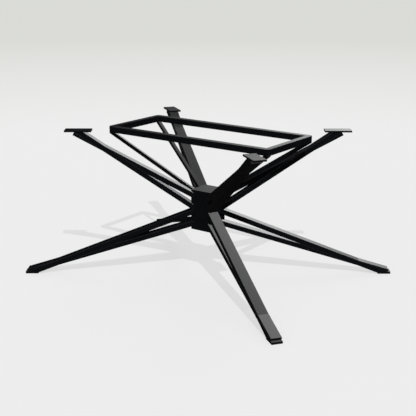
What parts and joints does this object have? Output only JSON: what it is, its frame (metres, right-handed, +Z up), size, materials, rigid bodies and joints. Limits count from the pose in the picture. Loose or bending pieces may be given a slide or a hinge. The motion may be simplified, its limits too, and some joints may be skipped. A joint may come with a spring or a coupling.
{
  "type": "star table base",
  "caption": "Welded steel table base: a square hub with splayed legs and arms of doubled flat tube, plates for a table top, and a rectangular tube ring on thin struts.",
  "frame": {"origin": "on the floor, under the hub's axis", "axes": "+Z up along the hub's axis, +X along the long side, +Y towards the back"},
  "size_m": [1.5152, 1.1122, 0.73],
  "materials": {
    "powder_coated_steel": "satin black powder coat",
    "nylon_glide": "moulded black nylon"
  },
  "bodies": {
    "root": {"hub_tube": "powder_coated_steel", "hub_top_cap": "powder_coated_steel", "hub_bottom_cap": "powder_coated_steel", "front_rail": "powder_coated_steel", "right_rail": "powder_coated_steel", "back_rail": "powder_coated_steel", "left_rail": "powder_coated_steel", "right_back_leg_bar": "powder_coated_steel", "right_back_leg_brace": "powder_coated_steel", "right_back_toe_wedge": "powder_coated_steel", "right_back_toe_cap": "powder_coated_steel", "right_back_glide": "nylon_glide", "right_back_arm_bar": "powder_coated_steel", "right_back_arm_brace": "powder_coated_steel", "right_back_tip_wedge": "powder_coated_steel", "right_back_tip_cap": "powder_coated_steel", "right_back_plate": "powder_coated_steel", "right_back_strut": "powder_coated_steel", "left_back_leg_bar": "powder_coated_steel", "left_back_leg_brace": "powder_coated_steel", "left_back_toe_wedge": "powder_coated_steel", "left_back_toe_cap": "powder_coated_steel", "left_back_glide": "nylon_glide", "left_back_arm_bar": "powder_coated_steel", "left_back_arm_brace": "powder_coated_steel", "left_back_tip_wedge": "powder_coated_steel", "left_back_tip_cap": "powder_coated_steel", "left_back_plate": "powder_coated_steel", "left_back_strut": "powder_coated_steel", "left_front_leg_bar": "powder_coated_steel", "left_front_leg_brace": "powder_coated_steel", "left_front_toe_wedge": "powder_coated_steel", "left_front_toe_cap": "powder_coated_steel", "left_front_glide": "nylon_glide", "left_front_arm_bar": "powder_coated_steel", "left_front_arm_brace": "powder_coated_steel", "left_front_tip_wedge": "powder_coated_steel", "left_front_tip_cap": "powder_coated_steel", "left_front_plate": "powder_coated_steel", "left_front_strut": "powder_coated_steel", "right_front_leg_bar": "powder_coated_steel", "right_front_leg_brace": "powder_coated_steel", "right_front_toe_wedge": "powder_coated_steel", "right_front_toe_cap": "powder_coated_steel", "right_front_glide": "nylon_glide", "right_front_arm_bar": "powder_coated_steel", "right_front_arm_brace": "powder_coated_steel", "right_front_tip_wedge": "powder_coated_steel", "right_front_tip_cap": "powder_coated_steel", "right_front_plate": "powder_coated_steel", "right_front_strut": "powder_coated_steel"}
  },
  "joints": []
}
